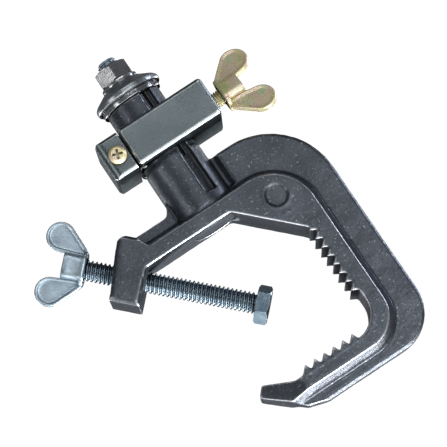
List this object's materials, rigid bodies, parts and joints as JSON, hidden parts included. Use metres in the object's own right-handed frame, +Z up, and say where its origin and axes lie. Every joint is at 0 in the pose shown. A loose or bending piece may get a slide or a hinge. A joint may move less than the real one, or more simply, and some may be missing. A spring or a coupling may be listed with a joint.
{
  "type": "pipe hook clamp",
  "caption": "Cast hook clamp with serrated pipe seat, angled wing screw, panning threaded stud and a locking collar on the stem.",
  "frame": {"origin": "tip of the fixture stud, on the stem's axis", "axes": "+Z up the stem to the hook, -X towards the hook's back, +Y along the pipe"},
  "size_m": [0.1489, 0.0415, 0.1912],
  "materials": {
    "cast_alloy": "tumbled dark casting",
    "block_alloy": "machined satin",
    "bright_zinc": "clear zinc plate",
    "bright_zinc_washer": "pressed, zinc plated",
    "nickel_plate": "bright nickel plate",
    "yellow_zinc": "yellow passivated zinc plate",
    "bronze": "turned",
    "spring_steel": "oiled",
    "nylon": "natural"
  },
  "bodies": {
    "hook": {"hook_casting": "cast_alloy", "spindle_bush": "bronze", "spindle_retaining_ring": "spring_steel", "bore_plug": "cast_alloy"},
    "collar": {"clamp_block": "block_alloy", "block_cheek": "block_alloy", "cheek_screw": "yellow_zinc"},
    "brake": {"brake_pad": "bronze"},
    "lock_handle": {"lock_screw": "yellow_zinc", "lock_wing": "yellow_zinc", "lock_wing_pin": "spring_steel"},
    "spindle_body": {"spindle": "bright_zinc", "seat_washer": "nickel_plate", "spindle_thrust_washer": "nylon"},
    "washers": {"dished_washer": "bright_zinc_washer", "spring_washer": "nickel_plate"},
    "nut": {"spindle_nut": "nickel_plate"},
    "pad": {"pressure_pad": "bright_zinc"},
    "clamp_handle": {"clamp_screw": "bright_zinc", "clamp_wing": "bright_zinc", "clamp_wing_pin": "spring_steel"}
  },
  "joints": [
    {"name": "clamp_travel", "type": "slide", "parent": "hook", "child": "pad", "axis": [-0.7071, 0, 0.7071], "range_m": [-0.04701, 0.01351]},
    {"name": "clamp_turn", "type": "hinge", "parent": "pad", "child": "clamp_handle", "pos_m": [0.0578, 0, 0.0818], "axis": [-0.7071, 0, 0.7071], "range_deg": [-8460, 2430]},
    {"name": "collar_turn", "type": "hinge", "parent": "hook", "child": "collar", "pos_m": [0, 0, 0.0445], "axis": [0, 0, 1], "range_deg": [-120, 120]},
    {"name": "lock_travel", "type": "slide", "parent": "collar", "child": "brake", "axis": [1, 0, 0], "range_m": [-0.00601, 0.00046]},
    {"name": "lock_turn", "type": "hinge", "parent": "brake", "child": "lock_handle", "pos_m": [-0.0364, 0, 0.0445], "axis": [1, 0, 0], "range_deg": [-1728, 129.6]},
    {"name": "spindle_pan", "type": "hinge", "parent": "hook", "child": "spindle_body", "pos_m": [0, 0, 0], "axis": [0, 0, 1], "continuous": true},
    {"name": "washer_travel", "type": "slide", "parent": "spindle_body", "child": "washers", "axis": [0, 0, -1], "range_m": [-0.00001, 0.00351]},
    {"name": "nut_turn", "type": "hinge", "parent": "washers", "child": "nut", "pos_m": [0, 0, 0.0118], "axis": [0, 0, -1], "range_deg": [0, 840]}
  ],
  "couplings": [
    {"joint": "clamp_travel", "follows": "clamp_turn", "m_per_rad": 0.00031831},
    {"joint": "lock_travel", "follows": "lock_turn", "m_per_rad": 0.00019894},
    {"joint": "washer_travel", "follows": "nut_turn", "m_per_rad": 0.00023873}
  ]
}
